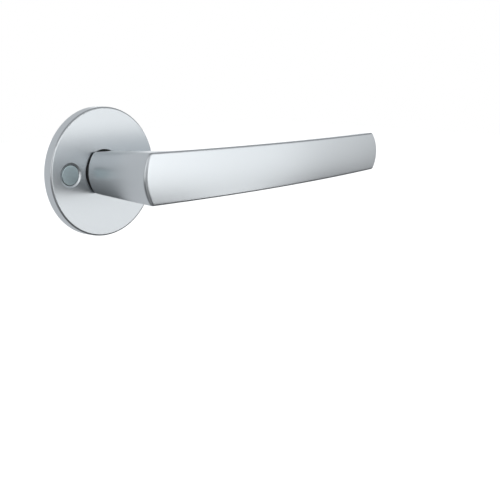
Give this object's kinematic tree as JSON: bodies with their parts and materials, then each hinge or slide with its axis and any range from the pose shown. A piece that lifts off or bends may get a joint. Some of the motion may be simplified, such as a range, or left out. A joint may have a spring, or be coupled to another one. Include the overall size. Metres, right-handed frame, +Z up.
{
  "type": "door lever handle",
  "caption": "Door lever handle: a broad bowed flat lever on a flared neck, sprung on a round rose with capped fixing screws, for a square spindle.",
  "frame": {"origin": "centre of the rose's back face, where the spindle's axis meets the door's face", "axes": "+X along the lever arm towards its tip, +Y along the spindle into the door, +Z up"},
  "size_m": [0.1778, 0.0841, 0.06],
  "materials": {
    "satin_metal": "satin, very fine grain",
    "cap_metal": "satin, a little darker than the rose",
    "black_nylon": "moulded, matt",
    "cast_alloy": "as cast",
    "plated_steel": "bright zinc plate",
    "spring_steel": "oiled spring steel",
    "blackened_steel": "blackened",
    "black_rubber": "matt"
  },
  "bodies": {
    "rose_assembly": {"rose": "satin_metal", "bearing_bush": "black_nylon", "mounting_plate": "cast_alloy", "plate_screws": "plated_steel", "chamber_cover": "plated_steel", "cover_screws": "plated_steel", "return_spring": "spring_steel", "door_pad": "black_rubber", "fixing_screws": "plated_steel", "screw_cap_left": "cap_metal", "screw_cap_right": "cap_metal", "cap_seals": "black_rubber", "thrust_washer": "plated_steel", "spring_washer": "spring_steel"},
    "lever_assembly": {"lever": "satin_metal", "spindle": "plated_steel", "grub_screw": "blackened_steel", "journal_circlip": "spring_steel", "drive_cam": "plated_steel", "cam_circlip": "spring_steel"}
  },
  "joints": [
    {"name": "lever_turn", "type": "hinge", "parent": "rose_assembly", "child": "lever_assembly", "pos_m": [0, 0, 0], "axis": [0, 1, 0], "range_deg": [0, 45], "stiffness_Nm_per_rad": 0.5, "springref_deg": -57.3, "deforming": ["return_spring"]}
  ]
}
